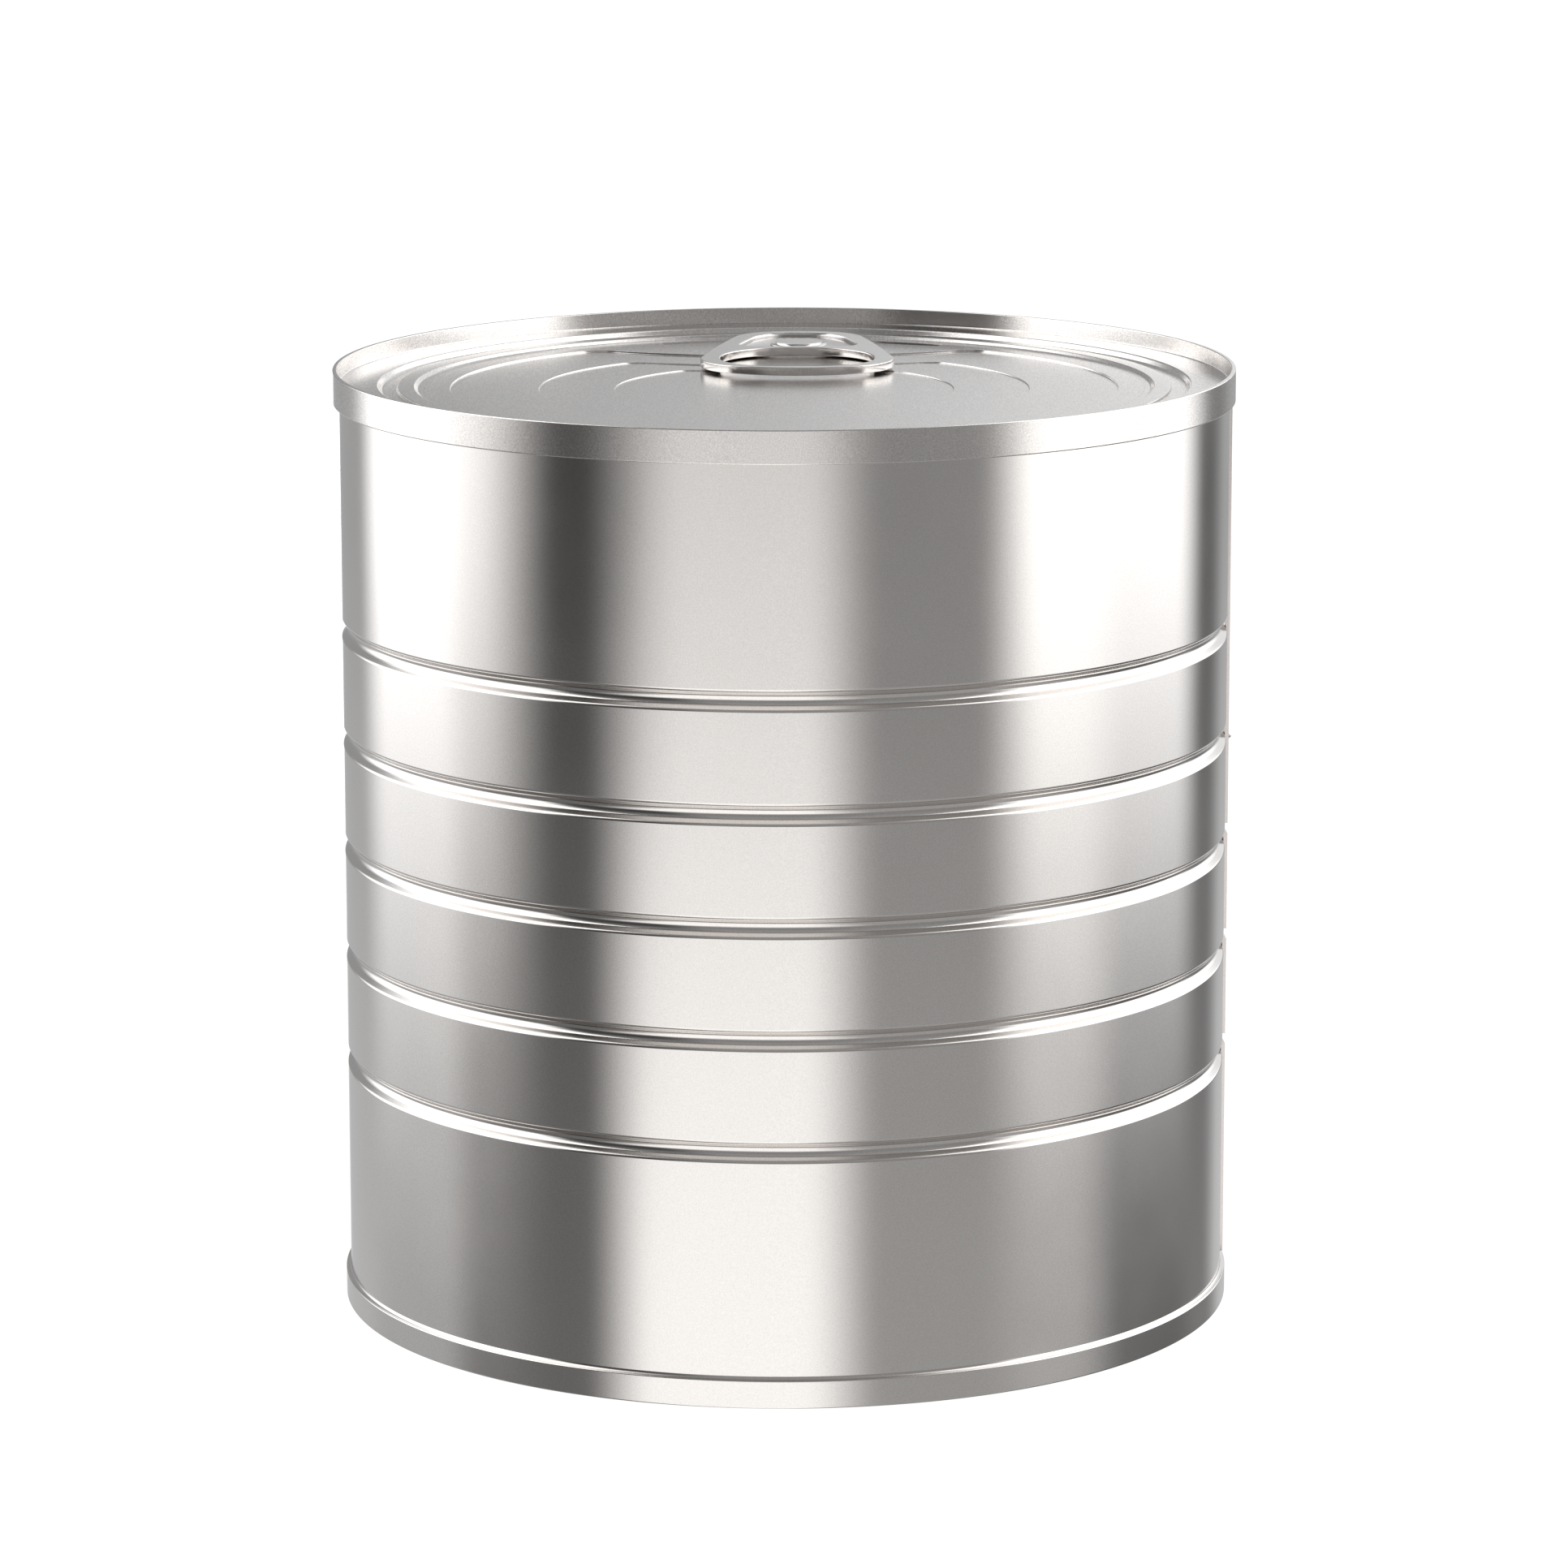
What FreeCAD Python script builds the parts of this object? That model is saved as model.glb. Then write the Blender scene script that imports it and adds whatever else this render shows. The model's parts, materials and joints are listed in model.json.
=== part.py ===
"""Tin food can with a ring-pull end, as a parametric document.

The can stands on its base seam with its axis on Z and z = 0 at the foot.
+Y is the side that the nose of the pull tab points to, and the finger ring
points to -Y. All lengths are in millimetres and all angles in degrees.

Pieces: the can wall with its filling (one shut solid), the base end with its
double seam, the ring-pull end with its double seam, the pull tab, the rivet
that holds it, and the four runs of the welded side seam.
"""
import FreeCAD, Part
import math
import os

import Sketcher

# Driving sizes: name, value, what it is.
SIZES = (
    ("can_height", 108.7, "foot to the top of the upper seam"),
    ("rim_proud", 0.65, "how far the upper seam stands out from the wall"),
    ("rim_height", 3.77, "height of the upper seam"),
    ("rim_flat", 0.49, "width of the flat on top of the upper seam"),
    ("rim_edge", 0.12, "rounding of the seams' edges"),
    ("wall_radius", 50.95, "outside of the can wall"),
    ("foot_proud", 0.55, "how far the base seam stands out from the wall"),
    ("foot_height", 3.18, "height of the base seam"),
    ("foot_width", 1.35, "thickness of the base seam"),
    ("foot_flare", 0.4, "fillet from the base seam up to the wall"),
    ("sheet", 0.25, "thickness of the end plates under their lowest step"),
    ("base_recess", 3.6, "depth of the base panel above the foot"),
    ("base_slope", 0.5, "draft of the base end's chuck wall"),
    ("base_bead_inset", 12.95, "wall to the middle of the base panel's outer bead"),
    ("base_bead_pitch", 9.0, "from one base bead to the next"),
    ("base_bead_width", 2.4, "width of a base bead"),
    ("base_bead_depth", 0.7, "depth of a base bead"),
    ("bead_count", 5, "beads round the wall"),
    ("bead_low", 28.93, "height of the lowest bead's middle"),
    ("bead_pitch", 12.55, "from one bead to the next"),
    ("bead_width", 2.2, "opening of a bead"),
    ("bead_depth", 1.05, "depth of a bead"),
    ("chuck_depth", 1.82, "rim down to the ledge round the end panel"),
    ("chuck_draft", 0.2, "draft of the chuck wall"),
    ("ledge_width", 4.46, "width of the ledge inside the chuck wall"),
    ("step_drop", 0.63, "drop of the outer step"),
    ("step_run", 0.4, "width of a step's slope"),
    ("score_inset", 2.15, "outer step to the score line"),
    ("score_rise", 0.38, "rise of the ring inside the score line"),
    ("ring_width", 2.0, "score line to the inner step"),
    ("panel_drop", 0.35, "drop of the inner step"),
    ("outer_inset", 4.1, "inner step to the outer stepped field"),
    ("outer_drop", 0.19, "drop of the outer field"),
    ("outer_back", 5.8, "rivet to the middle of the outer field's back edge"),
    ("outer_sweep", 46.7, "radius of the outer field's back edge"),
    ("outer_corner", 4.0, "corners of the outer field"),
    ("middle_inset", 10.15, "edge of the outer field to the middle one"),
    ("middle_drop", 0.12, "drop of the middle field"),
    ("middle_back", 12.7, "rivet to the middle of the middle field's back edge"),
    ("middle_sweep", 53.0, "radius of the middle field's back edge"),
    ("middle_corner", 3.0, "corners of the middle field"),
    ("inner_inset", 8.65, "edge of the middle field to the inner one"),
    ("inner_drop", 0.11, "drop of the inner field"),
    ("inner_back", 16.4, "rivet to the middle of the inner field's back edge"),
    ("inner_sweep", 90.0, "radius of the inner field's back edge"),
    ("inner_corner", 3.0, "corners of the inner field"),
    ("slot_inset", 2.45, "inner step to the outside of the curved slot behind the tab"),
    ("slot_width", 1.7, "width of the curved slot"),
    ("slot_depth", 0.27, "depth of the curved slot"),
    ("slot_angle", 25.0, "half of the angle that the slot takes up"),
    ("slot_turn", 3.2, "turn of the slot from +Y towards +X"),
    ("rivet_inset", 11.0, "inner step to the rivet, along Y"),
    ("rivet_aside", 1.73, "axis to the rivet, along X"),
    ("rivet_head", 5.46, "diameter of the rivet's head"),
    ("rivet_collar", 6.75, "diameter of the rivet's collar"),
    ("rivet_rise", 0.36, "height of the head above the tab's well"),
    ("collar_rise", 0.1, "height of the collar above the tab's well"),
    ("rivet_shank", 4.2, "diameter of the rivet's shank"),
    ("shank_gap", 0.15, "gap between the shank and its hole in the tab"),
    ("tab_turn", 0.8, "turn of the tab from +Y towards +X"),
    ("tab_lift", 0.36, "tilt of the tab, nose up"),
    ("tab_gap", 0.05, "gap between the tab's underside and the panel at the rivet"),
    ("tab_thick", 0.97, "thickness of the tab"),
    ("tab_length", 31.1, "length of the tab"),
    ("nose_rim", 1.45, "back of the well to the end of the tab's nose"),
    ("nose_bow", 2.1, "how far the middle of the nose lies past its corners"),
    ("tab_edge", 0.14, "rounding of the tab's edges"),
    ("nose_half", 6.95, "half width at the nose's corners, before rounding"),
    ("nose_corner", 5.9, "corners of the nose"),
    ("hip_half", 11.91, "half width at the front corners, before rounding"),
    ("hip_corner", 7.2, "front corners of the tab"),
    ("front_bow", 4.54, "how far the middle of the front lies past its corners"),
    ("flank_bow", 0.42, "how far the middle of a flank leaves its chord"),
    ("hole_rim", 1.5, "ring's front to the finger hole"),
    ("hole_side", 2.92, "front corners of the tab to the sides of the finger hole"),
    ("hole_bridge", 1.05, "back of the finger hole to the front of the well"),
    ("hole_corner", 6.5, "front corners of the finger hole"),
    ("hole_straight", 0.6, "straight part of the finger hole's sides"),
    ("hole_flat", 1.1, "half width of the flat part of the finger hole's back"),
    ("hole_bow", 2.35, "how far the back corners of the finger hole leave their chords"),
    ("hole_notch", 0.12, "how far the middle of the finger hole's back edge comes forward"),
    ("well_half", 7.1, "half width of the well round the rivet, at its front"),
    ("well_taper", 1.48, "how much narrower each side of the well is at its back"),
    ("well_depth", 0.45, "depth of the well"),
    ("well_behind", 7.1, "rivet to the back of the well"),
    ("well_ahead", 4.7, "rivet to the front of the well"),
    ("well_bow", 1.29, "how far the bends of the well's back leave their chords"),
    ("well_notch", 0.3, "how far the middle of the well's back comes forward"),
    ("well_shoulder", 4.1, "well's back to the start of its bends"),
    ("well_heel", 2.2, "front corners of the well"),
    ("seam_width", 2.0, "width of the side seam"),
    ("seam_rise", 0.45, "height of the side seam above the wall"),
    ("seam_turn", 1.5, "turn of the side seam from +X towards +Y"),
    ("seam_clear", 0.15, "seam's end above a bead, below the bead's upper edge"),
    ("seam_lap", 0.12, "seam's end below a bead, above the bead's middle"),
    ("seam_bevel", 0.4, "bevel of a seam's upper end"),
    ("open_beads", 3, "lowest beads, which part the side seam"),
    ("drop_radius", 0.38, "drop of solder on the side seam"),
    ("drop_height", 65.2, "height of the drop"),
)


class Size:
    """A length that keeps its value and the expression that ties it to the sheet."""

    def __init__(self, value, text):
        self.value = value
        self.text = text

    def _join(self, sign, other, turned=False):
        other = other if isinstance(other, Size) else Size(other, repr(other))
        left, right = (other, self) if turned else (self, other)
        answers = {"+": lambda a, b: a + b, "-": lambda a, b: a - b, "*": lambda a, b: a * b,
                   "/": lambda a, b: a / b}
        return Size(answers[sign](left.value, right.value), f"({left.text} {sign} {right.text})")

    def __add__(self, other):
        return self._join("+", other)

    def __radd__(self, other):
        return self._join("+", other, True)

    def __sub__(self, other):
        return self._join("-", other)

    def __rsub__(self, other):
        return self._join("-", other, True)

    def __mul__(self, other):
        return self._join("*", other)

    def __rmul__(self, other):
        return self._join("*", other, True)

    def __truediv__(self, other):
        return self._join("/", other)

    def __neg__(self):
        return 0 - self


def root(size):
    """Square root of a Size."""
    return Size(math.sqrt(size.value), f"sqrt({size.text})")


def bind(thing, path, size):
    """Tie one property or constraint of an object to the sheet."""
    thing.setExpression(path, size.text if isinstance(size, Size) else size)


doc = FreeCAD.newDocument("FoodCan")
sheet = doc.addObject("Spreadsheet::Sheet", "Sizes")
for row, (alias, value, meaning) in enumerate(SIZES, 1):
    sheet.set(f"A{row}", alias)
    sheet.set(f"B{row}", str(value))
    sheet.set(f"C{row}", meaning)
    sheet.setAlias(f"B{row}", alias)
doc.recompute()
at = {alias: Size(sheet.get(alias), f"Sizes.{alias}") for alias, value, meaning in SIZES}


# ---------------------------------------------------------------- sketching

def new_body(label):
    """A PartDesign body whose label names its file."""
    body = doc.addObject("PartDesign::Body", label)
    body.Label = label
    return body


def new_sketch(body, name, role, height=None):
    """A sketch on one of the body's origin planes, raised by height along the plane's normal."""
    sketch = body.newObject("Sketcher::SketchObject", name)
    plane = next(part for part in body.Origin.OriginFeatures if part.Role == role)
    sketch.AttachmentSupport = [(plane, "")]
    sketch.MapMode = "FlatFace"
    if height is not None:
        bind(sketch, "AttachmentOffset.Base.z", height)
    return sketch


def hold(sketch, geometry, point, x, y):
    """Fix one point of a sketch at x, y from the sketch's origin, both tied to the sheet."""
    for kind, size in (("DistanceX", x), ("DistanceY", y)):
        index = sketch.addConstraint(Sketcher.Constraint(kind, -1, 1, geometry, point, size.value))
        bind(sketch, f"Constraints[{index}]", size)


def plain(value):
    """A Size for a fixed number, such as a point on the axis."""
    return value if isinstance(value, Size) else Size(float(value), repr(float(value)))


def arc_between(start, end, radius, bulge):
    """The arc of a given radius from start to end, bulging to the left (+1) or right (-1) of its chord."""
    a = FreeCAD.Vector(start[0].value, start[1].value, 0)
    b = FreeCAD.Vector(end[0].value, end[1].value, 0)
    chord = b - a
    half = chord.Length / 2
    left = FreeCAD.Vector(-chord.y, chord.x, 0).normalize()
    rise = radius.value - math.sqrt(radius.value ** 2 - half ** 2)
    return Part.Arc(a, (a + b) * 0.5 + left * (bulge * rise), b)


def outline(sketch, corners, arcs=None):
    """A closed outline through corners, each tied to the sheet.

    arcs gives, for the index of the side's first corner, the (radius, bulge) of a round side.
    """
    arcs = arcs or {}
    corners = [(plain(x), plain(y)) for x, y in corners]
    ends = []
    for index, corner in enumerate(corners):
        following = corners[(index + 1) % len(corners)]
        if index in arcs:
            radius, bulge = arcs[index]
            curve = arc_between(corner, following, radius, bulge)
            number = sketch.addGeometry(curve, False)
            # An arc runs anticlockwise in the sketch, so a bulge to the right of its chord keeps the order.
            ends.append((number, 1, 2) if bulge < 0 else (number, 2, 1))
            tie = sketch.addConstraint(Sketcher.Constraint("Radius", number, radius.value))
            bind(sketch, f"Constraints[{tie}]", radius)
        else:
            line = Part.LineSegment(FreeCAD.Vector(corner[0].value, corner[1].value, 0),
                                    FreeCAD.Vector(following[0].value, following[1].value, 0))
            ends.append((sketch.addGeometry(line, False), 1, 2))
    for index, (number, first, last) in enumerate(ends):
        after, after_first, _ = ends[(index + 1) % len(ends)]
        sketch.addConstraint(Sketcher.Constraint("Coincident", number, last, after, after_first))
        hold(sketch, number, first, *corners[index])


def sweep_of(start, end, bow):
    """Radius of the arc from start to end whose middle lies bow away from the chord."""
    across, along = end[0] - start[0], end[1] - start[1]
    return ((across * across + along * along) / 4 + bow * bow) / (2 * bow)


def hole_outline(sketch, half, low, high):
    """The finger hole: round front corners, wide bends at the back, and a back edge that dips in the middle."""
    corner, flat, shoulder = at["hole_corner"], at["hole_flat"], low + at["hole_corner"] + at["hole_straight"]
    bend = sweep_of((flat, high), (half, shoulder), at["hole_bow"])
    outline(sketch, [(flat, high), (0, high - at["hole_notch"]), (-flat, high), (-half, shoulder),
                     (-half, low + corner), (corner - half, low), (half - corner, low), (half, low + corner),
                     (half, shoulder)],
            {2: (bend, -1), 4: (corner, -1), 6: (corner, -1), 8: (bend, -1)})


def well_outline(sketch, wide, low, high):
    """The well: round front corners, sides that draw in, and a back of two bends that meet a little forward."""
    heel, narrow = at["well_heel"], wide - at["well_taper"]
    shoulder, ridge = high - at["well_shoulder"], high - at["well_notch"]
    bend = sweep_of((0, ridge), (narrow, shoulder), at["well_bow"])
    outline(sketch, [(0, ridge), (-narrow, shoulder), (-wide, low + heel), (heel - wide, low),
                     (wide - heel, low), (wide, low + heel), (narrow, shoulder)],
            {0: (bend, -1), 2: (heel, -1), 4: (heel, -1), 6: (bend, -1)})


def revolve(body, sketch, name):
    """A full turn of a profile about the Z axis, which is the sketch's upright axis."""
    turn = body.newObject("PartDesign::Revolution", name)
    turn.Profile = sketch
    turn.ReferenceAxis = (sketch, ["V_Axis"])
    turn.Angle = 360
    return turn


def pad(body, sketch, name, length, midplane=False):
    """A pad of a sketch."""
    solid = body.newObject("PartDesign::Pad", name)
    solid.Profile = sketch
    bind(solid, "Length", length)
    solid.Midplane = midplane
    return solid


def pocket(body, sketch, name, depth):
    """A pocket cut down from the sketch, against its normal."""
    cut = body.newObject("PartDesign::Pocket", name)
    cut.Profile = sketch
    bind(cut, "Length", depth)
    return cut


def round_edges(body, base, name, radius, wanted):
    """A fillet on those edges of base for which wanted(edge) is true."""
    doc.recompute()
    chosen = [f"Edge{number}" for number, edge in enumerate(base.Shape.Edges, 1) if wanted(edge)]
    fillet = body.newObject("PartDesign::Fillet", name)
    fillet.Base = (base, chosen)
    bind(fillet, "Radius", radius)
    return fillet


def ring_at(radius, height):
    """A test for a full circle about Z of this radius at this height."""
    def wanted(edge):
        return (isinstance(edge.Curve, Part.Circle) and abs(edge.Curve.Radius - radius.value) < NEAR
                and abs(edge.Curve.Center.z - height.value) < NEAR
                and math.hypot(edge.Curve.Center.x, edge.Curve.Center.y) < NEAR)
    return wanted


def upright_at(corners):
    """A test for an upright edge that passes through one of the (x, y) corners."""
    def wanted(edge):
        low, high = edge.BoundBox.ZMin, edge.BoundBox.ZMax
        flat = max(edge.BoundBox.XLength, edge.BoundBox.YLength)
        return high - low > NEAR and flat < NEAR and any(
            math.hypot(edge.CenterOfMass.x - x.value, edge.CenterOfMass.y - y.value) < NEAR for x, y in corners)
    return wanted


NEAR = 0.01

# Radii and heights that several pieces share.
rim_radius = at["wall_radius"] + at["rim_proud"]
foot_radius = at["wall_radius"] + at["foot_proud"]
step_radius = rim_radius - at["rim_flat"] - at["chuck_draft"] - at["ledge_width"]
score_radius = step_radius - at["score_inset"]
panel_radius = score_radius - at["ring_width"]
rivet_along = panel_radius - at["rivet_inset"]
panel_top = at["can_height"] - at["chuck_depth"] - at["step_drop"] + at["score_rise"] - at["panel_drop"]
inner_top = panel_top - at["outer_drop"] - at["middle_drop"] - at["inner_drop"]
lid_under = inner_top - at["sheet"]
base_over = at["base_recess"] + at["sheet"]
wall_foot = at["foot_height"] + at["foot_flare"]
wall_head = at["can_height"] - at["rim_height"]


# ---------------------------------------------------------------- can wall and filling

def build_can():
    """The wall with its filling, solid between the end plates, with beads pressed in round it."""
    body = new_body("can_body")
    sketch = new_sketch(body, "WallProfile", "XZ_Plane")
    outline(sketch, [(0, base_over), (at["wall_radius"], base_over),
                     (at["wall_radius"], lid_under), (0, lid_under)])
    revolve(body, sketch, "Wall")
    # One bead: a round groove whose chord lies on the wall.
    groove_sketch = new_sketch(body, "BeadProfile", "XZ_Plane")
    half = at["bead_width"] / 2
    sweep = (half * half + at["bead_depth"] * at["bead_depth"]) / (2 * at["bead_depth"])
    outline(groove_sketch,
            [(at["wall_radius"], at["bead_low"] + half), (at["wall_radius"], at["bead_low"] - half),
             (at["wall_radius"] + half, at["bead_low"] - half), (at["wall_radius"] + half, at["bead_low"] + half)],
            {0: (sweep, -1)})
    groove = body.newObject("PartDesign::Groove", "Bead")
    groove.Profile = groove_sketch
    groove.ReferenceAxis = (groove_sketch, ["V_Axis"])
    groove.Angle = 360
    beads = body.newObject("PartDesign::LinearPattern", "Beads")
    beads.Originals = [groove]
    beads.Direction = (groove_sketch, ["V_Axis"])
    bind(beads, "Length", at["bead_pitch"] * (at["bead_count"] - 1))
    bind(beads, "Occurrences", at["bead_count"])
    body.Tip = beads
    return body


# ---------------------------------------------------------------- base end

def build_base():
    """The base end: a double seam that the can stands on, round a sunk panel with ring beads."""
    body = new_body("base_end")
    sketch = new_sketch(body, "BaseProfile", "XZ_Plane")
    flare = at["foot_flare"]
    inner_foot = foot_radius - at["foot_width"]
    outline(sketch,
            [(0, at["base_recess"]), (inner_foot - at["base_slope"], at["base_recess"]), (inner_foot, 0),
             (foot_radius, 0), (foot_radius, at["foot_height"]),
             (at["wall_radius"] + flare, at["foot_height"]), (at["wall_radius"], wall_foot),
             (at["wall_radius"], base_over), (0, base_over)],
            {5: (flare, 1)})
    solid = revolve(body, sketch, "Base")
    beads = new_sketch(body, "BaseBeadProfile", "XZ_Plane")
    half = at["base_bead_width"] / 2
    for number in range(2):
        middle = at["wall_radius"] - at["base_bead_inset"] - at["base_bead_pitch"] * number
        outline(beads, [(middle - half, at["base_recess"]), (middle, at["base_recess"] - at["base_bead_depth"]),
                        (middle + half, at["base_recess"])])
    ribs = revolve(body, beads, "BaseBeads")
    edge = at["rim_edge"]
    tests = [ring_at(foot_radius, plain(0)), ring_at(foot_radius, at["foot_height"]),
             ring_at(inner_foot, plain(0))]
    body.Tip = round_edges(body, ribs, "FootEdges", edge, lambda item: any(test(item) for test in tests))
    return body, solid


# ---------------------------------------------------------------- ring-pull end

def field_sketch(body, name, radius, back, sweep, height):
    """A stepped field: round at the front and sides, with a back edge that bows in towards the axis.

    The back edge is an arc about a point on +Y, and its ends lie where it meets the field's circle.
    """
    sketch = new_sketch(body, name, "XY_Plane", height)
    centre = back + sweep
    cross_y = (radius * radius - sweep * sweep + centre * centre) / (2 * centre)
    cross_x = root(radius * radius - cross_y * cross_y)
    rim = Part.ArcOfCircle(Part.Circle(FreeCAD.Vector(), FreeCAD.Vector(0, 0, 1), radius.value),
                           math.atan2(cross_y.value, -cross_x.value),
                           math.atan2(cross_y.value, cross_x.value) + 2 * math.pi)
    number = sketch.addGeometry(rim, False)
    far = math.asin(cross_x.value / sweep.value)
    dip = Part.ArcOfCircle(Part.Circle(FreeCAD.Vector(0, centre.value, 0), FreeCAD.Vector(0, 0, 1), sweep.value),
                           -math.pi / 2 - far, -math.pi / 2 + far)
    other = sketch.addGeometry(dip, False)
    for arc, size in ((number, radius), (other, sweep)):
        tie = sketch.addConstraint(Sketcher.Constraint("Radius", arc, size.value))
        bind(sketch, f"Constraints[{tie}]", size)
    sketch.addConstraint(Sketcher.Constraint("Coincident", number, 1, other, 1))
    sketch.addConstraint(Sketcher.Constraint("Coincident", number, 2, other, 2))
    sketch.addConstraint(Sketcher.Constraint("Coincident", number, 3, -1, 1))
    sketch.addConstraint(Sketcher.Constraint("PointOnObject", other, 3, -2))
    tie = sketch.addConstraint(Sketcher.Constraint("DistanceY", -1, 1, other, 3, centre.value))
    bind(sketch, f"Constraints[{tie}]", centre)
    return sketch, [(cross_x, cross_y), (-cross_x, cross_y)]


def slot_sketch(body, height):
    """The curved slot behind the tab: a band between two arcs about the can's axis, cut off square."""
    sketch = new_sketch(body, "SlotOutline", "XY_Plane", height)
    outer = panel_radius - at["slot_inset"]
    inner = outer - at["slot_width"]
    middle = math.radians(90 - at["slot_turn"].value)
    half = math.radians(at["slot_angle"].value)

    def corner(radius, side):
        angle = f"(90 - {at['slot_turn'].text} + {side} * {at['slot_angle'].text})"
        turn = middle + side * half
        return (Size(radius.value * math.cos(turn), f"{radius.text} * cos({angle})"),
                Size(radius.value * math.sin(turn), f"{radius.text} * sin({angle})"))

    outline(sketch, [corner(outer, -1), corner(outer, 1), corner(inner, 1), corner(inner, -1)],
            {0: (outer, -1), 2: (inner, 1)})
    return sketch


def build_lid():
    """The ring-pull end: seam, chuck wall, two steps with the score line between, and three stepped fields."""
    body = new_body("pull_end")
    top = at["can_height"]
    ledge = top - at["chuck_depth"]
    floor = ledge - at["step_drop"]
    ring = floor + at["score_rise"]
    run = at["step_run"]
    lip = rim_radius - at["rim_flat"]
    sketch = new_sketch(body, "EndProfile", "XZ_Plane")
    outline(sketch,
            [(0, lid_under), (at["wall_radius"], lid_under), (at["wall_radius"], wall_head),
             (rim_radius, wall_head), (rim_radius, top), (lip, top),
             (lip - at["chuck_draft"], ledge), (step_radius, ledge), (step_radius - run, floor),
             (score_radius, floor), (score_radius - run / 4, ring),
             (panel_radius, ring), (panel_radius - run, panel_top), (0, panel_top)])
    tip = revolve(body, sketch, "End")
    level, reach = panel_top, panel_radius
    for name in ("outer", "middle", "inner"):
        reach = reach - at[f"{name}_inset"]
        field, corners = field_sketch(body, f"{name.title()}Field", reach, rivet_along - at[f"{name}_back"],
                                      at[f"{name}_sweep"], level)
        cut = pocket(body, field, f"{name.title()}Step", at[f"{name}_drop"])
        tip = round_edges(body, cut, f"{name.title()}Corners", at[f"{name}_corner"], upright_at(corners))
        level = level - at[f"{name}_drop"]
    tip = pocket(body, slot_sketch(body, panel_top), "Slot", at["slot_depth"])
    tests = [ring_at(rim_radius, top), ring_at(lip, top), ring_at(rim_radius, wall_head)]
    body.Tip = round_edges(body, tip, "RimEdges", at["rim_edge"], lambda item: any(test(item) for test in tests))
    return body


# ---------------------------------------------------------------- pull tab and rivet

def tab_place(thing):
    """Seat a piece that is drawn about the rivet's axis: underside on the panel, turned and tilted."""
    seat = panel_top + at["tab_gap"]
    bind(thing, "Placement",
         f"placement(vector({at['rivet_aside'].text}; {rivet_along.text}; {seat.text}); "
         f"rotation(vector(0; 0; 1); -{at['tab_turn'].text})) * "
         f"placement(vector(0; 0; 0); rotation(vector(1; 0; 0); {at['tab_lift'].text}))")


def build_tab():
    """The pull tab, drawn about the rivet's axis with its underside at 0 and its nose towards +Y."""
    body = new_body("pull_tab")
    sketch = new_sketch(body, "TabOutline", "XY_Plane")
    nose = at["well_behind"] + at["nose_rim"]
    front = nose - at["tab_length"]
    nose_y, hip_y = nose - at["nose_bow"], front + at["front_bow"]
    corners = [(at["nose_half"], nose_y), (-at["nose_half"], nose_y),
               (-at["hip_half"], hip_y), (at["hip_half"], hip_y)]
    flank = sweep_of(corners[1], corners[2], at["flank_bow"])
    outline(sketch, corners, {0: (sweep_of(corners[0], corners[1], at["nose_bow"]), -1), 1: (flank, -1),
                              2: (sweep_of(corners[2], corners[3], at["front_bow"]), -1), 3: (flank, -1)})
    plate = pad(body, sketch, "Plate", at["tab_thick"])
    tip = round_edges(body, plate, "NoseCorners", at["nose_corner"], upright_at([corners[0], corners[1]]))
    tip = round_edges(body, tip, "HipCorners", at["hip_corner"], upright_at([corners[2], corners[3]]))
    hole = new_sketch(body, "FingerHole", "XY_Plane", at["tab_thick"])
    well_back, well_front = at["well_behind"], -at["well_ahead"]
    hole_outline(hole, at["hip_half"] - at["hole_side"], front + at["hole_rim"], well_front - at["hole_bridge"])
    pocket(body, hole, "Ring", at["tab_thick"] * 2)
    well = new_sketch(body, "WellOutline", "XY_Plane", at["tab_thick"])
    well_outline(well, at["well_half"], well_front, well_back)
    pocket(body, well, "Well", at["well_depth"])
    shank = new_sketch(body, "ShankHole", "XY_Plane", at["tab_thick"])
    bore = at["rivet_shank"] / 2 + at["shank_gap"]
    circle = shank.addGeometry(Part.Circle(FreeCAD.Vector(), FreeCAD.Vector(0, 0, 1), bore.value), False)
    shank.addConstraint(Sketcher.Constraint("Coincident", circle, 3, -1, 1))
    tie = shank.addConstraint(Sketcher.Constraint("Radius", circle, bore.value))
    bind(shank, f"Constraints[{tie}]", bore)
    tip = pocket(body, shank, "Bore", at["tab_thick"] * 2)

    def outer_edge(edge):
        """An edge in the top or bottom face that lies on the plate's outline or round the finger hole."""
        box = edge.BoundBox
        flat = box.ZLength < NEAR and min(abs(box.ZMin), abs(box.ZMin - at["tab_thick"].value)) < NEAR
        middle = edge.valueAt((edge.FirstParameter + edge.LastParameter) / 2)
        in_well = abs(middle.x) < at["well_half"].value + NEAR and (
            well_front.value - NEAR < middle.y < well_back.value + NEAR)
        return flat and not in_well

    body.Tip = round_edges(body, tip, "TabEdges", at["tab_edge"], outer_edge)
    tab_place(body)
    return body


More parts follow.
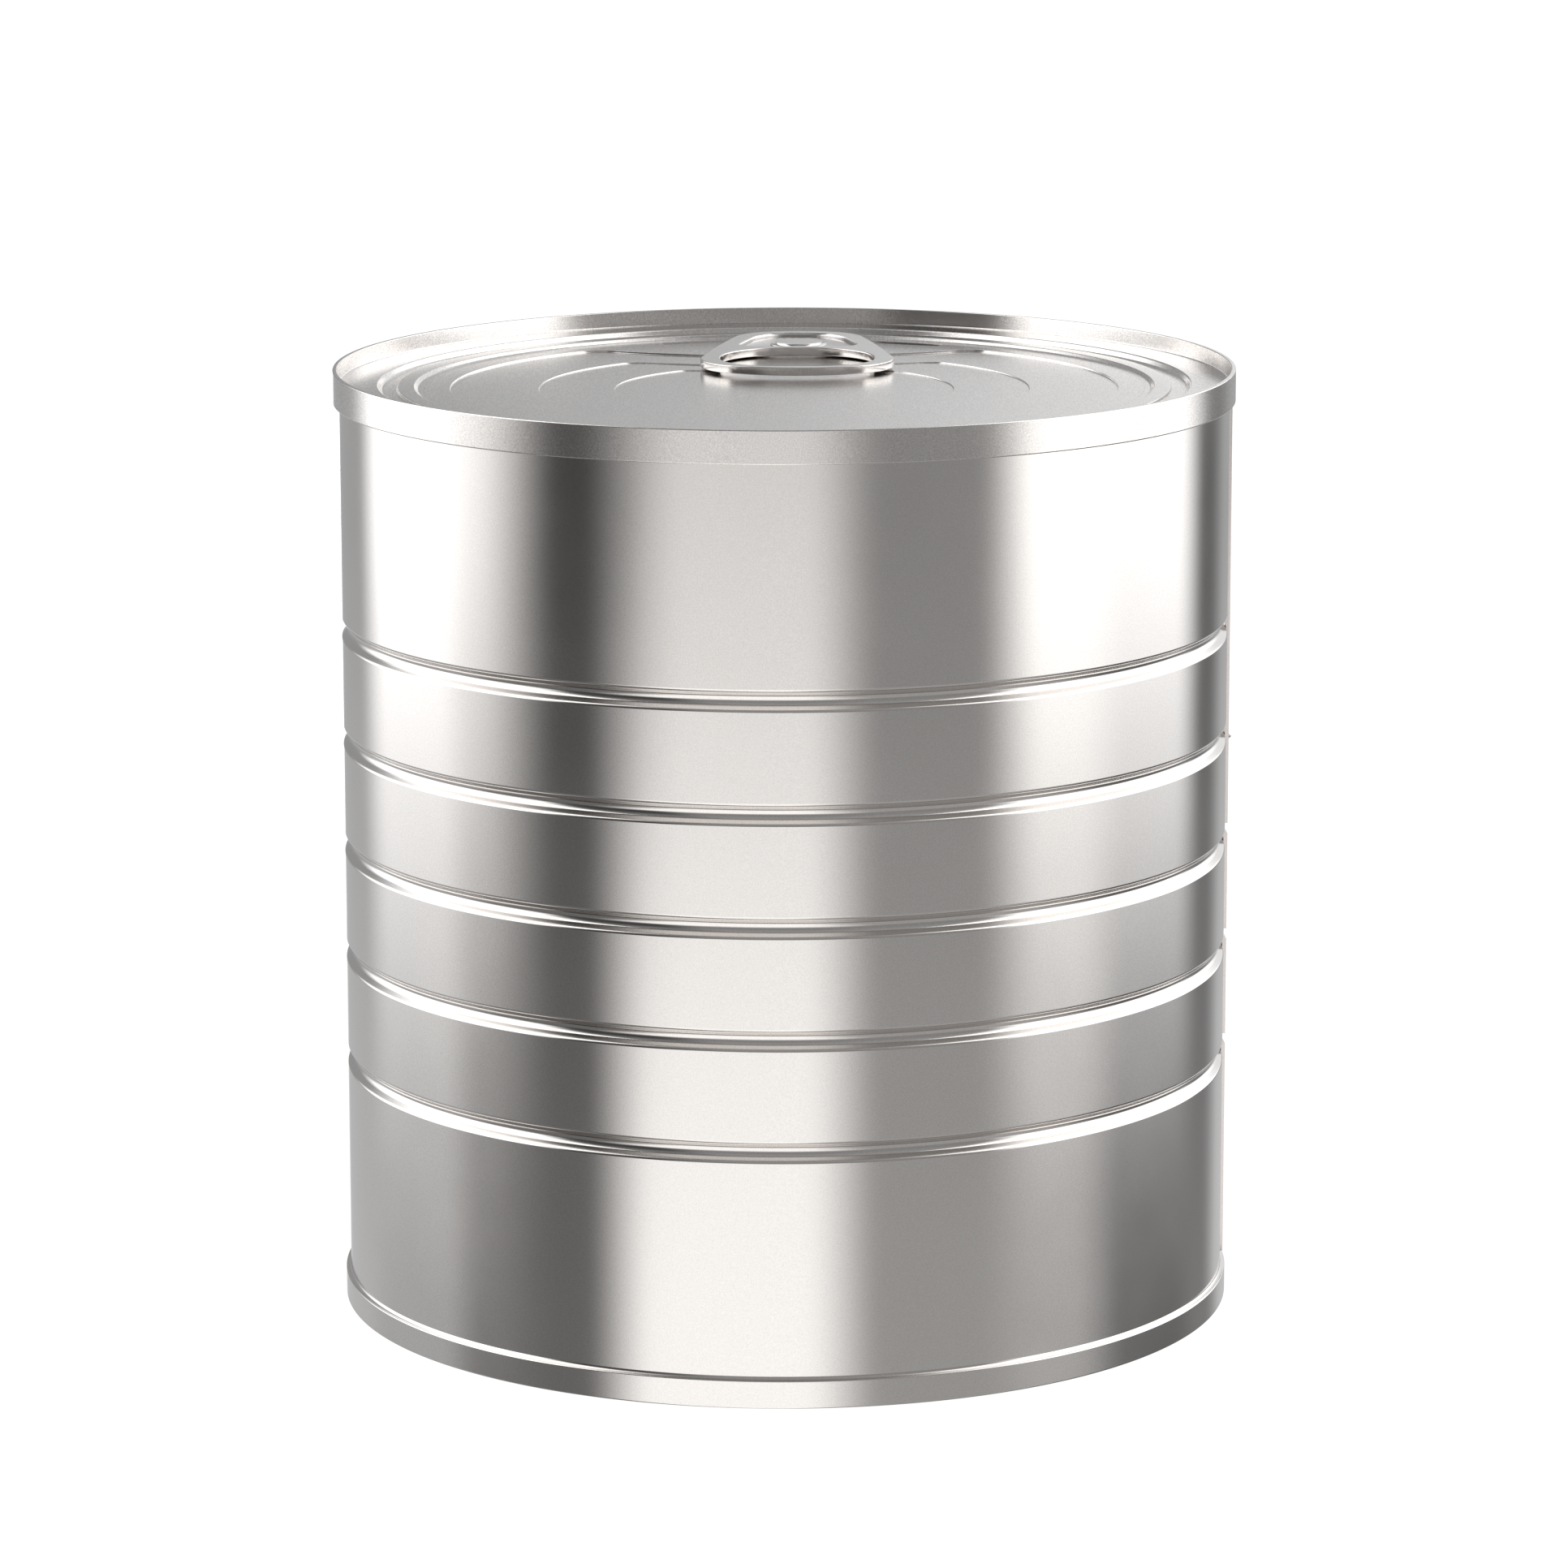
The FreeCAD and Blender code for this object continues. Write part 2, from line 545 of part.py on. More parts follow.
def build_rivet():
    """The rivet: a shank through the tab, a thin collar on the well's floor and a flat head.

    It stands upright in the panel, from the panel's face, and the collar lies on the tab's well.
    """
    body = new_body("rivet")
    sketch = new_sketch(body, "RivetProfile", "XZ_Plane")
    well = at["tab_gap"] + at["tab_thick"] - at["well_depth"]
    tilt = Size(math.tan(math.radians(at["tab_lift"].value)), f"tan({at['tab_lift'].text})")
    seat = well + at["rivet_collar"] / 2 * tilt
    outline(sketch, [(0, 0), (at["rivet_shank"] / 2, 0), (at["rivet_shank"] / 2, seat),
                     (at["rivet_collar"] / 2, seat), (at["rivet_collar"] / 2, seat + at["collar_rise"]),
                     (at["rivet_head"] / 2, seat + at["collar_rise"]),
                     (at["rivet_head"] / 2, seat + at["rivet_rise"]), (0, seat + at["rivet_rise"])])
    solid = revolve(body, sketch, "RivetBody")
    edge = at["collar_rise"] / 2
    rings = [ring_at(at["rivet_head"] / 2, seat + at["rivet_rise"]),
             ring_at(at["rivet_collar"] / 2, seat + at["collar_rise"])]
    body.Tip = round_edges(body, solid, "RivetEdges", edge, lambda item: any(test(item) for test in rings))
    bind(body, "Placement", f"placement(vector({at['rivet_aside'].text}; {rivet_along.text}; "
                            f"{panel_top.text}); rotation(vector(0; 0; 1); 0))")
    return body


# ---------------------------------------------------------------- side seam

def build_seam(number, low, high, with_bevel):
    """One run of the side seam: a flat strip on the wall, its inner face fitted to the wall's round."""
    body = new_body(f"side_seam_{number}")
    sketch = new_sketch(body, "SeamProfile", "XZ_Plane")
    outer = at["wall_radius"] + at["seam_rise"]
    inner = at["wall_radius"] - at["seam_width"] / 4
    corners = [(inner, low), (outer, low), (outer, high - at["seam_bevel"]), (outer - at["seam_bevel"], high),
               (inner, high)] if with_bevel else [(inner, low), (outer, low), (outer, high), (inner, high)]
    outline(sketch, corners)
    pad(body, sketch, "Strip", at["seam_width"], midplane=True)
    bore = new_sketch(body, "WallRound", "XY_Plane", high + at["seam_width"])
    circle = bore.addGeometry(Part.Circle(FreeCAD.Vector(), FreeCAD.Vector(0, 0, 1), at["wall_radius"].value), False)
    bore.addConstraint(Sketcher.Constraint("Coincident", circle, 3, -1, 1))
    tie = bore.addConstraint(Sketcher.Constraint("Radius", circle, at["wall_radius"].value))
    bind(bore, f"Constraints[{tie}]", at["wall_radius"])
    body.Tip = pocket(body, bore, "Seat", high - low + at["seam_width"] * 2)
    bind(body, "Placement", f"placement(vector(0; 0; 0); rotation(vector(0; 0; 1); {at['seam_turn'].text}))")
    return body


def build_seams():
    """The side seam's runs, from the base seam to the upper one, parted at the lowest beads."""
    runs = []
    low = wall_foot
    for number in range(int(at["open_beads"].value)):
        middle = at["bead_low"] + at["bead_pitch"] * number
        runs.append(build_seam(number + 1, low, middle + at["seam_lap"], True))
        low = middle + at["bead_width"] / 2 - at["seam_clear"]
    runs.append(build_seam(len(runs) + 1, low, wall_head, False))
    return runs


def build_drop():
    """The drop of solder that sits on the face of the top run of the side seam."""
    body = new_body("seam_drop")
    sketch = new_sketch(body, "DropProfile", "XZ_Plane")
    radius = at["drop_radius"]
    outline(sketch, [(0, 0), (radius, 0), (0, radius)], {1: (radius, -1)})
    body.Tip = revolve(body, sketch, "Drop")
    reach = at["wall_radius"] + at["seam_rise"]
    bind(body, "Placement",
         f"placement(vector(0; 0; 0); rotation(vector(0; 0; 1); {at['seam_turn'].text})) * "
         f"placement(vector({reach.text}; 0; {at['drop_height'].text}); rotation(vector(0; 1; 0); 90))")
    return body


# ---------------------------------------------------------------- build, check, write

base_body, base_solid = build_base()
pieces = [build_can(), base_body, build_lid(), build_tab(), build_rivet(), *build_seams(), build_drop()]
doc.recompute()

for thing in doc.Objects:
    if {"Invalid", "Error"} & set(thing.State):
        raise RuntimeError(f"{thing.Label} failed: {thing.State}")
for piece in pieces:
    shape = piece.Shape
    if shape.isNull() or not shape.isValid() or len(shape.Solids) != 1:
        raise RuntimeError(f"{piece.Label} has no single valid solid")

os.makedirs("parts", exist_ok=True)
for piece in pieces:
    piece.Shape.exportStep(f"parts/{piece.Label}.step")
    box = piece.Shape.BoundBox
    print(f"{piece.Label:12s} {piece.Shape.Volume:12.3f} mm3  x {box.XMin:.2f}..{box.XMax:.2f}  "
          f"y {box.YMin:.2f}..{box.YMax:.2f}  z {box.ZMin:.2f}..{box.ZMax:.2f}")
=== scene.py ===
"""A shut tinplate food can with a ring-pull end, dressed and lit in a plain studio.

The can stands on z = 0 with its axis on Z. +Y is the side that the nose of the pull tab points to, and
the camera looks along +Y. Sizes in the classes are in millimetres, and meshes are in metres.
"""

import json
import logging
import math
from dataclasses import dataclass
from enum import Enum
from typing import Sequence

import bmesh
import bpy
import numpy as np
from mathutils import Matrix

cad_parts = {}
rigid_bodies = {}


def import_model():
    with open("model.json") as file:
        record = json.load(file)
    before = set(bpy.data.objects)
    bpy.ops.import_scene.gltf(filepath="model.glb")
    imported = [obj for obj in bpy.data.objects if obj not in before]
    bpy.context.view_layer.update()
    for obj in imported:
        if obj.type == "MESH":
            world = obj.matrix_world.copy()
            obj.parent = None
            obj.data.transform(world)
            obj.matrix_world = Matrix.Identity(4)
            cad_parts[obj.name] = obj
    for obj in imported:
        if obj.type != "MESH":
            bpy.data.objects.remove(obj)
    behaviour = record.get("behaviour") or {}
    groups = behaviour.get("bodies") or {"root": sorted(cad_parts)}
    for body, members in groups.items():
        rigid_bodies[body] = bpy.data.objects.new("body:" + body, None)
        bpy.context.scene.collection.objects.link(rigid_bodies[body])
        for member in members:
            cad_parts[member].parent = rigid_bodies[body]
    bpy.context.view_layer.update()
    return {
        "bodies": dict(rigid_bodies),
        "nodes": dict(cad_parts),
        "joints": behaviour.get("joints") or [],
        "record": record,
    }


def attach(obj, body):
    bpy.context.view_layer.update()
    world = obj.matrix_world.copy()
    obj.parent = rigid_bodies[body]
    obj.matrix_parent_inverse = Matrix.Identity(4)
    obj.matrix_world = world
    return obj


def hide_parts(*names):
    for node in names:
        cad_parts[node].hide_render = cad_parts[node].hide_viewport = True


log = logging.getLogger("food_can")

MM = 0.001
TURN = 2 * math.pi
BODY = "root"

# Sizes that more than one piece of the can shares, in millimetres.
CAN_HEIGHT = 108.7
WALL_RADIUS = 50.95
UPPER_SEAM = 3.77
BASE_SEAM = 3.18
BASE_FLARE = 0.4

# A row of points that all lie within this many millimetres is one point.
POLE = 0.01
# Corners of a CAD node's loose triangles that are nearer than this many metres are one corner.
JOIN = 2e-7
# Most of a noise texture's values lie between these two.
NOISE = (0.25, 0.75)


# ------------------------------------------------------------------ shader values

class Wire:
    """A value in a node tree, with Python's operators. Each operator adds one Math node."""

    def __init__(self, shader: "Shader", socket: bpy.types.NodeSocket) -> None:
        """Keep the tree's writer and the socket that carries the value."""
        self.shader = shader
        self.socket = socket

    def _math(self, operation: str, *values: "Wire | float") -> "Wire":
        """Add one Math node.

        Args:
            operation: the node's operation.
            values: its inputs, in order.

        Returns:
            The node's value.
        """
        return self.shader.add("ShaderNodeMath", {"operation": operation}, dict(enumerate(values)))

    def __add__(self, other: "Wire | float") -> "Wire":
        """self + other."""
        return self._math("ADD", self, other)

    def __radd__(self, other: float) -> "Wire":
        """other + self."""
        return self._math("ADD", other, self)

    def __sub__(self, other: "Wire | float") -> "Wire":
        """self - other."""
        return self._math("SUBTRACT", self, other)

    def __rsub__(self, other: float) -> "Wire":
        """other - self."""
        return self._math("SUBTRACT", other, self)

    def __mul__(self, other: "Wire | float") -> "Wire":
        """self * other."""
        return self._math("MULTIPLY", self, other)

    def __rmul__(self, other: float) -> "Wire":
        """other * self."""
        return self._math("MULTIPLY", other, self)

    def __neg__(self) -> "Wire":
        """-self."""
        return self._math("MULTIPLY", self, -1.0)

    def __abs__(self) -> "Wire":
        """The size of self without its sign."""
        return self._math("ABSOLUTE", self)

    def power(self, exponent: float) -> "Wire":
        """self to the power of exponent."""
        return self._math("POWER", self, exponent)

    def ramp(self, start: float, end: float, low: "Wire | float" = 0.0, high: "Wire | float" = 1.0) -> "Wire":
        """An even change from low to high, eased at both ends.

        Args:
            start: the value of self at which the change begins.
            end: the value of self at which it is over.
            low: the result before start.
            high: the result after end.

        Returns:
            The eased value.
        """
        return self.shader.add("ShaderNodeMapRange", {"interpolation_type": "SMOOTHSTEP", "clamp": True},
                               {0: self, 1: start, 2: end, 3: low, 4: high})


class Shader:
    """Writes the nodes of one material or world."""

    def __init__(self, tree: bpy.types.NodeTree) -> None:
        """Start an empty tree."""
        self.tree = tree
        tree.nodes.clear()

    def node(self, kind: str, settings: dict[str, object] | None = None,
             inputs: dict[int | str, object] | None = None) -> bpy.types.Node:
        """Add a node of any type.

        Args:
            kind: the node's type.
            settings: attributes, set first.
            inputs: values or wires for its sockets, by name or number.

        Returns:
            The node.
        """
        made = self.tree.nodes.new(kind)
        for name, value in (settings or {}).items():
            setattr(made, name, value)
        for name, value in (inputs or {}).items():
            if isinstance(value, Wire):
                self.tree.links.new(value.socket, made.inputs[name])
            elif isinstance(value, bpy.types.NodeSocket):
                self.tree.links.new(value, made.inputs[name])
            else:
                made.inputs[name].default_value = value
        return made

    def add(self, kind: str, settings: dict[str, object] | None = None,
            inputs: dict[int | str, object] | None = None, output: int | str = 0) -> Wire:
        """Add a node as node() does and give one of its outputs.

        Args:
            kind: the node's type.
            settings: attributes, set first.
            inputs: values or wires for its sockets, by name or number.
            output: the output's name or number.

        Returns:
            The output's value.
        """
        return Wire(self, self.node(kind, settings, inputs).outputs[output])

    def blend(self, share: Wire | float, first: object, second: object) -> Wire:
        """Mix two colours.

        Args:
            share: how much of the second colour shows.
            first: the first colour.
            second: the second colour.

        Returns:
            The mixed colour.
        """
        return self.add("ShaderNodeMix", {"data_type": "RGBA", "clamp_factor": True},
                        {0: share, 6: first, 7: second}, output=2)

    def point(self) -> bpy.types.NodeSocket:
        """The place on the piece, in metres."""
        return self.node("ShaderNodeTexCoord").outputs["Object"]


# ------------------------------------------------------------------ finishes

class Grain(Enum):
    """How the metal's fine grain lies: the texture's scale along X, Y and Z."""

    EVEN = (1.0, 1.0, 1.0)
    ROLLED = (1.0, 0.16, 1.0)


@dataclass(frozen=True)
class Metal:
    """A bare metal finish: a tinned or rolled surface with fine grain and faint clouding.

    Attributes:
        name: the material's name.
        colour: the metal's colour.
        roughness: how much it blurs what it mirrors.
        grain: how much the grain lightens and darkens it.
        lie: whether the grain is even or drawn out along Y, the way the sheet was rolled.
        grain_size: size of the grain in millimetres.
        relief: height of the grain's relief in millimetres.
        clouds: how many broad clouds there are to the metre.
        clouding: the clouds' share of the tone, the rest of which is grain.
        wander: how far the roughness changes from cloud to cloud.
    """

    name: str
    colour: tuple[float, float, float]
    roughness: float
    grain: float
    lie: Grain = Grain.EVEN
    grain_size: float = 0.15
    relief: float = 0.0006
    clouds: float = 90.0
    clouding: float = 0.15
    wander: float = 0.06

    def material(self) -> bpy.types.Material:
        """Build the material.

        Returns:
            A metal whose base colour, roughness and bump change over the surface.
        """
        made = bpy.data.materials.new(self.name)
        made.use_nodes = True
        shader = Shader(made.node_tree)
        place = shader.add("ShaderNodeMapping", {}, {"Vector": shader.point(), "Scale": self.lie.value})
        fine = shader.add("ShaderNodeTexNoise", {}, {"Vector": place, "Scale": 1 / (self.grain_size * MM),
                                                     "Detail": 2.0, "Roughness": 0.6})
        cloud = shader.add("ShaderNodeTexNoise", {}, {"Vector": place, "Scale": self.clouds, "Detail": 2.0})
        tone = fine.ramp(*NOISE) * (1 - self.clouding) + cloud.ramp(*NOISE) * self.clouding
        dark = (*(part * (1 - self.grain) for part in self.colour), 1.0)
        light = (*(min(1.0, part * (1 + self.grain)) for part in self.colour), 1.0)
        bump = shader.add("ShaderNodeBump", {}, {"Strength": 1.0, "Distance": self.relief * MM,
                                                 "Height": fine}, output="Normal")
        surface = shader.node("ShaderNodeBsdfPrincipled", {}, {
            "Metallic": 1.0,
            "Base Color": shader.blend(tone, dark, light),
            "Roughness": (cloud - 0.5) * self.wander + self.roughness,
            "Normal": bump,
        })
        shader.node("ShaderNodeOutputMaterial", {}, {"Surface": surface.outputs[0]})
        return made


BRIGHT_TIN = (0.76, 0.73, 0.705)
TINPLATE = Metal("tinplate", BRIGHT_TIN, roughness=0.13, grain=0.07)
END_PLATE = Metal("end_plate", BRIGHT_TIN, roughness=0.18, grain=0.16, lie=Grain.ROLLED)
TAB_STEEL = Metal("tab_steel", BRIGHT_TIN, roughness=0.16, grain=0.09, lie=Grain.ROLLED)
WELD = Metal("weld", (0.86, 0.80, 0.77), roughness=0.3, grain=0.06)


# ------------------------------------------------------------------ surfaces

def skin(name: str, points: np.ndarray, normals: np.ndarray, around: bool = True) -> bpy.types.Object:
    """A mesh from a grid of points, with the normals given and not averaged.

    Each grid cell is one four-sided face between rows i, i + 1 and columns j, j + 1. With around, the last
    column is joined to the first. A first or last row that lies in one point becomes one corner, and its
    faces are triangles. All faces are turned over if most of them face against the normals.

    Args:
        name: the object's name.
        points: rows x columns x 3, in millimetres.
        normals: rows x columns x 3, unit length, outwards.
        around: whether the columns close on themselves.

    Returns:
        The new object, with its place in its mesh.
    """
    rows, columns = points.shape[:2]
    number = np.arange(rows * columns).reshape(rows, columns)
    kept = np.ones(rows * columns, dtype=bool)
    for end in (0, -1):
        if np.ptp(points[end], axis=0).max() < POLE:
            kept[number[end, 1:]] = False
            number[end] = number[end, 0]
    beside = np.roll(number, -1, axis=1) if around else number[:, 1:]
    here = number if around else number[:, :-1]
    faces = np.stack([here[:-1], beside[:-1], beside[1:], here[1:]], axis=-1).reshape(-1, 4)
    faces = (np.cumsum(kept) - 1)[faces]
    flat, turned = points.reshape(-1, 3)[kept] * MM, normals.reshape(-1, 3)[kept]
    a, b, d = (flat[faces[:, side]] for side in (0, 1, 3))
    facing = np.einsum("ij,ij->i", np.cross(b - a, d - a), turned[faces[:, 0]])
    if np.median(facing) < 0:
        faces = faces[:, ::-1]
    double = faces == np.roll(faces, -1, axis=1)
    tip = double.any(axis=1)
    tips = faces[tip][~double[tip]].reshape(-1, 3)
    mesh = bpy.data.meshes.new(name)
    mesh.from_pydata(flat.tolist(), [], faces[~tip].tolist() + tips.tolist())
    mesh.polygons.foreach_set("use_smooth", np.ones(len(mesh.polygons), dtype=bool))
    mesh.update()
    mesh.normals_split_custom_set_from_vertices(turned.tolist())
    thing = bpy.data.objects.new(name, mesh)
    bpy.context.scene.collection.objects.link(thing)
    return thing


def rounded(corners: Sequence[tuple[float, float, float]], steps: int) -> tuple[np.ndarray, np.ndarray]:
    """A profile through corners, each with its own rounding, and the normals along it.

    A corner's arc touches both of its straight sides. Its centre lies on the corner's bisector, radius over
    the sine of half the corner away, and its points turn evenly from one side's normal to the other's. The
    first corner and the last are the profile's ends, and their radius isn't used.

    Args:
        corners: (r, z, radius) in millimetres, in order, with the metal on the left of the path.
        steps: points on each arc.

    Returns:
        Points and unit normals, each n x 2.
    """
    given = np.array(corners, dtype=float)
    spots, radii = given[:, :2], given[1:-1, 2]
    sides = np.diff(spots, axis=0)
    sides /= np.linalg.norm(sides, axis=1, keepdims=True)
    normal = np.stack([sides[:, 1], -sides[:, 0]], axis=1)
    before, after = normal[:-1], normal[1:]
    bend = np.arctan2(before[:, 0] * after[:, 1] - before[:, 1] * after[:, 0], (before * after).sum(axis=1))
    reach = radii * np.tan(np.abs(bend) / 2)
    share = np.linspace(0, 1, steps)
    angle = bend[:, None] * share[None, :]
    cos, sin = np.cos(angle), np.sin(angle)
    turned = np.stack([cos * before[:, None, 0] - sin * before[:, None, 1],
                       sin * before[:, None, 0] + cos * before[:, None, 1]], axis=-1)
    way = np.sign(bend)[:, None]
    start = spots[1:-1] - sides[:-1] * reach[:, None]
    centre = start - before * radii[:, None] * way
    arcs = centre[:, None, :] + turned * (radii[:, None] * way)[:, :, None]
    points = np.concatenate([spots[:1], arcs.reshape(-1, 2), spots[-1:]])
    normals = np.concatenate([normal[:1], turned.reshape(-1, 2), normal[-1:]])
    return points, normals


def lathe(name: str, profile: tuple[np.ndarray, np.ndarray], columns: int) -> bpy.types.Object:
    """Turn a profile about the can's axis.

    Column j stands at the angle j / columns of a turn, and a point (r, z) of the profile goes to
    (r cos angle, r sin angle, z).

    Args:
        name: the object's name.
        profile: points (r, z) in millimetres and their unit normals.
        columns: how many columns go round.

    Returns:
        The turned surface.
    """
    angle = np.arange(columns) * TURN / columns
    cos, sin = np.cos(angle)[None, :], np.sin(angle)[None, :]
    points, turned = (np.stack([given[:, :1] * cos, given[:, :1] * sin,
                                np.repeat(given[:, 1:], columns, axis=1)], axis=-1) for given in profile)
    return skin(name, points, turned)


def ease(value: np.ndarray) -> tuple[np.ndarray, np.ndarray]:
    """A cubic ease: 1/2 + x (3 - x^2) / 4, held at 0 below -1 and at 1 above +1.

    Args:
        value: x.

    Returns:
        The ease and its slope.
    """
    held = np.clip(value, -1, 1)
    return 0.5 + held * (3 - held ** 2) / 4, np.where(np.abs(value) < 1, 0.75 * (1 - held ** 2), 0.0)


def between(low: np.ndarray, high: np.ndarray, count: int) -> np.ndarray:
    """Rows evenly spaced between two rows.

    Args:
        low: the row before them.
        high: the row after them.
        count: how many rows to make.

    Returns:
        count rows, without low and high.
    """
    share = np.arange(1, count + 1)[:, None] / (count + 1)
    return low + (high - low) * share


def smooth_copy(name: str, node: bpy.types.Object, angle: float) -> bpy.types.Object:
    """A copy of a CAD node with its loose triangles joined and its rounded edges shaded smoothly.

    At each corner the largest face alone sets the normal, so that flat faces stay flat.

    Args:
        name: the copy's name.
        node: the CAD node.
        angle: edges sharper than this many degrees stay sharp.

    Returns:
        The copy, at the origin.
    """
    mesh = bpy.data.meshes.new(name)
    work = bmesh.new()
    work.from_mesh(node.data)
    bmesh.ops.remove_doubles(work, verts=work.verts, dist=JOIN)
    work.to_mesh(mesh)
    work.free()
    mesh.polygons.foreach_set("use_smooth", np.ones(len(mesh.polygons), dtype=bool))
    mesh.set_sharp_from_angle(angle=math.radians(angle))
    thing = bpy.data.objects.new(name, mesh)
    bpy.context.scene.collection.objects.link(thing)
    weights = thing.modifiers.new("face_weights", "WEIGHTED_NORMAL")
    weights.keep_sharp = True
    weights.mode = "FACE_AREA"
    weights.weight = 100
    return thing


def dress(thing: bpy.types.Object, metal: bpy.types.Material, nodes: Sequence[str] = ()) -> None:
    """Give a piece its material, seat it on the can's body and hide the CAD nodes that it replaces.

    Args:
        thing: the piece.
        metal: its material.
        nodes: the CAD nodes that it replaces.
    """
    thing.data.materials.append(metal)
    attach(thing, BODY)
    if nodes:
        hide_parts(*nodes)
    log.info("%s: %d faces", thing.name, len(thing.data.polygons))


# ------------------------------------------------------------------ the can

@dataclass
class Wall:
    """The can's wall, with its pressed beads.

    Attributes:
        radius: outside of the wall.
        low: its lowest edge.
        high: its highest edge, under the upper seam.
        bead_low: height of the lowest bead's middle.
        bead_pitch: from one bead to the next.
        bead_count: how many beads.
        bead_width: opening of a bead.
        bead_apex: depth at which a bead's two flanks would meet.
        bead_bottom: rounding of a bead's bottom.
        bead_edge: rounding of a bead's edges.
        arc_points: points on each rounding.
        columns: how many columns go round.
    """

    radius: float = WALL_RADIUS
    low: float = BASE_SEAM + BASE_FLARE
    high: float = CAN_HEIGHT - UPPER_SEAM
    bead_low: float = 28.93
    bead_pitch: float = 12.55
    bead_count: int = 5
    bead_width: float = 2.2
    bead_apex: float = 1.365
    bead_bottom: float = 0.85
    bead_edge: float = 0.38
    arc_points: int = 12
    columns: int = 540

    def profile(self) -> tuple[np.ndarray, np.ndarray]:
        """The wall from its foot to its head.

        A bead is a V of two straight flanks, with a wide rounding at its bottom and a smaller one at each
        edge.

        Returns:
            Points and unit normals, each n x 2.
        """
        corners = [(self.radius, self.low, 0.0)]
        half = self.bead_width / 2
        for middle in self.bead_low + self.bead_pitch * np.arange(self.bead_count):
            corners += [(self.radius, middle - half, self.bead_edge),
                        (self.radius - self.bead_apex, middle, self.bead_bottom),
                        (self.radius, middle + half, self.bead_edge)]
        corners.append((self.radius, self.high, 0.0))
        return rounded(corners, self.arc_points)

    def build(self, metal: bpy.types.Material) -> None:
        """Make the wall and dress it.

        Args:
            metal: its material.
        """
        dress(lathe("can_wall", self.profile(), self.columns), metal, ["can_body"])


@dataclass
class BaseEnd:
    """The base end: its double seam and the sunk panel that it is rolled round.

    Attributes:
        radius: outside of the seam.
        height: height of the seam.
        width: thickness of the seam.
        wall: radius of the can's wall.
        flare: fillet from the seam up to the wall.
        edge: rounding of the seam's upper edge.
        foot_outer: rounding of the foot, outside.
        foot_inner: rounding of the foot, inside.
        recess: height of the panel above the foot.
        draft: how far the recess narrows towards the panel.
        panel_corner: rounding from the recess's wall to the panel.
        beads: radii of the panel's beads.
        bead_half: half the width of a bead.
        bead_depth: how far a bead's middle lies under the panel, before it is rounded.
        bead_round: rounding of a bead's middle and edges.
        arc_points: points on each rounding.
        columns: how many columns go round.
    """

    radius: float = WALL_RADIUS + 0.55
    height: float = BASE_SEAM
    width: float = 1.35
    wall: float = WALL_RADIUS
    flare: float = BASE_FLARE
    edge: float = 0.12
    foot_outer: float = 0.2
    foot_inner: float = 0.35
    recess: float = 3.6
    draft: float = 0.5
    panel_corner: float = 0.4
    beads: tuple[float, ...] = (29.0, 38.0)
    bead_half: float = 1.2
    bead_depth: float = 0.7
    bead_round: float = 0.6
    arc_points: int = 8
    columns: int = 720

    def profile(self) -> tuple[np.ndarray, np.ndarray]:
        """The base end from its panel's middle out, round the foot and up to the wall.

        Returns:
            Points and unit normals, each n x 2.
        """
        inner = self.radius - self.width
        corners = [(0.0, self.recess, 0.0)]
        for middle in self.beads:
            corners += [(middle - self.bead_half, self.recess, self.bead_round),
                        (middle, self.recess - self.bead_depth, self.bead_round),
                        (middle + self.bead_half, self.recess, self.bead_round)]
        corners += [(inner - self.draft, self.recess, self.panel_corner),
                    (inner, 0.0, self.foot_inner),
                    (self.radius, 0.0, self.foot_outer),
                    (self.radius, self.height, self.edge),
                    (self.wall, self.height, self.flare),
                    (self.wall, self.height + self.flare, 0.0)]
        return rounded(corners, self.arc_points)

    def build(self, metal: bpy.types.Material) -> None:
        """Make the base end and dress it.

        Args:
            metal: its material.
        """
        dress(lathe("base_seam", self.profile(), self.columns), metal, ["base_end"])


